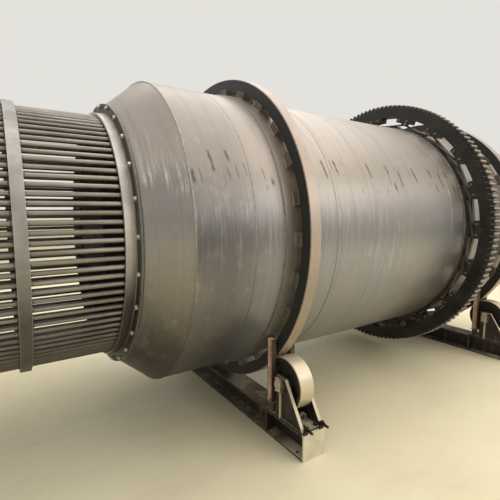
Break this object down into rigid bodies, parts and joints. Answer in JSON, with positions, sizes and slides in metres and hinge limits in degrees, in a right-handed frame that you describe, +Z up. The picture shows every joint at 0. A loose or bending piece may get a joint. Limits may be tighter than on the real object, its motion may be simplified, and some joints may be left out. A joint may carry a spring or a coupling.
{
  "type": "trommel screen",
  "caption": "Rotary drum washer with a bar trommel screen at its discharge end, a girth gear on spring plates, and riding rings on support rollers across two floor beams.",
  "frame": {"origin": "on the floor, below the middle of the drum's length and width", "axes": "+X along the drum towards the feed end, +Y across to the far side, +Z up"},
  "size_m": [6.823, 2.6996, 2.7798],
  "materials": {
    "shell_steel": "scuffed",
    "screen_bars": "worn bright",
    "screen_bands": "worn",
    "dark_steel": "worn matte",
    "ring_steel": "machined",
    "gear_iron": "greased",
    "base_paint": "worn matte",
    "roller_steel": "machined",
    "bright_steel": "satin"
  },
  "bodies": {
    "base": {"front_roller_beam": "base_paint", "front_roller_stands": "base_paint", "front_bearing_housings": "bright_steel", "front_guard_posts": "base_paint", "front_adjusting_screws": "bright_steel", "front_lifting_eyes": "bright_steel", "rear_roller_beam": "base_paint", "rear_roller_stands": "base_paint", "rear_bearing_housings": "bright_steel", "rear_guard_posts": "base_paint", "rear_adjusting_screws": "bright_steel", "rear_lifting_eyes": "bright_steel"},
    "drum": {"discharge_cone": "shell_steel", "cone_flange": "bright_steel", "screen_flange": "dark_steel", "screen_sleeve": "screen_bands", "screen_band_1": "screen_bands", "screen_band_2": "screen_bands", "screen_band_3": "screen_bands", "screen_end_ring": "screen_bands", "screen_bars_1": "screen_bars", "screen_bars_2": "screen_bars", "screen_bars_3": "screen_bars", "screen_bars_4": "screen_bars", "shell_course_1": "shell_steel", "shell_course_2": "shell_steel", "shell_course_3": "shell_steel", "shell_course_4": "shell_steel", "front_wrapper_plate": "shell_steel", "front_riding_ring": "ring_steel", "front_ring_pads": "bright_steel", "rear_wrapper_plate": "shell_steel", "rear_riding_ring": "ring_steel", "rear_ring_pads": "bright_steel", "girth_gear_upper_half": "gear_iron", "girth_gear_lower_half": "gear_iron", "gear_lugs": "dark_steel", "spring_plates": "dark_steel", "gear_belt": "dark_steel", "feed_end_plate": "shell_steel", "feed_collar": "shell_steel"},
    "front_near_roller_body": {"front_near_roller": "roller_steel"},
    "front_far_roller_body": {"front_far_roller": "roller_steel"},
    "rear_near_roller_body": {"rear_near_roller": "roller_steel"},
    "rear_far_roller_body": {"rear_far_roller": "roller_steel"}
  },
  "joints": [
    {"name": "drum_turn", "type": "hinge", "parent": "base", "child": "drum", "pos_m": [0, 0, 1.43], "axis": [1, 0, 0], "continuous": true},
    {"name": "front_near_roller_turn", "type": "hinge", "parent": "base", "child": "front_near_roller_body", "pos_m": [-0.2855, -1.00218, 0.42782], "axis": [1, 0, 0], "continuous": true},
    {"name": "front_far_roller_turn", "type": "hinge", "parent": "base", "child": "front_far_roller_body", "pos_m": [-0.2855, 1.00218, 0.42782], "axis": [1, 0, 0], "continuous": true},
    {"name": "rear_near_roller_turn", "type": "hinge", "parent": "base", "child": "rear_near_roller_body", "pos_m": [2.5945, -1.00218, 0.42782], "axis": [1, 0, 0], "continuous": true},
    {"name": "rear_far_roller_turn", "type": "hinge", "parent": "base", "child": "rear_far_roller_body", "pos_m": [2.5945, 1.00218, 0.42782], "axis": [1, 0, 0], "continuous": true}
  ],
  "couplings": [
    {"joint": "front_near_roller_turn", "follows": "drum_turn", "ratio": -6.8722},
    {"joint": "front_far_roller_turn", "follows": "drum_turn", "ratio": -6.8722},
    {"joint": "rear_near_roller_turn", "follows": "drum_turn", "ratio": -6.8722},
    {"joint": "rear_far_roller_turn", "follows": "drum_turn", "ratio": -6.8722}
  ]
}
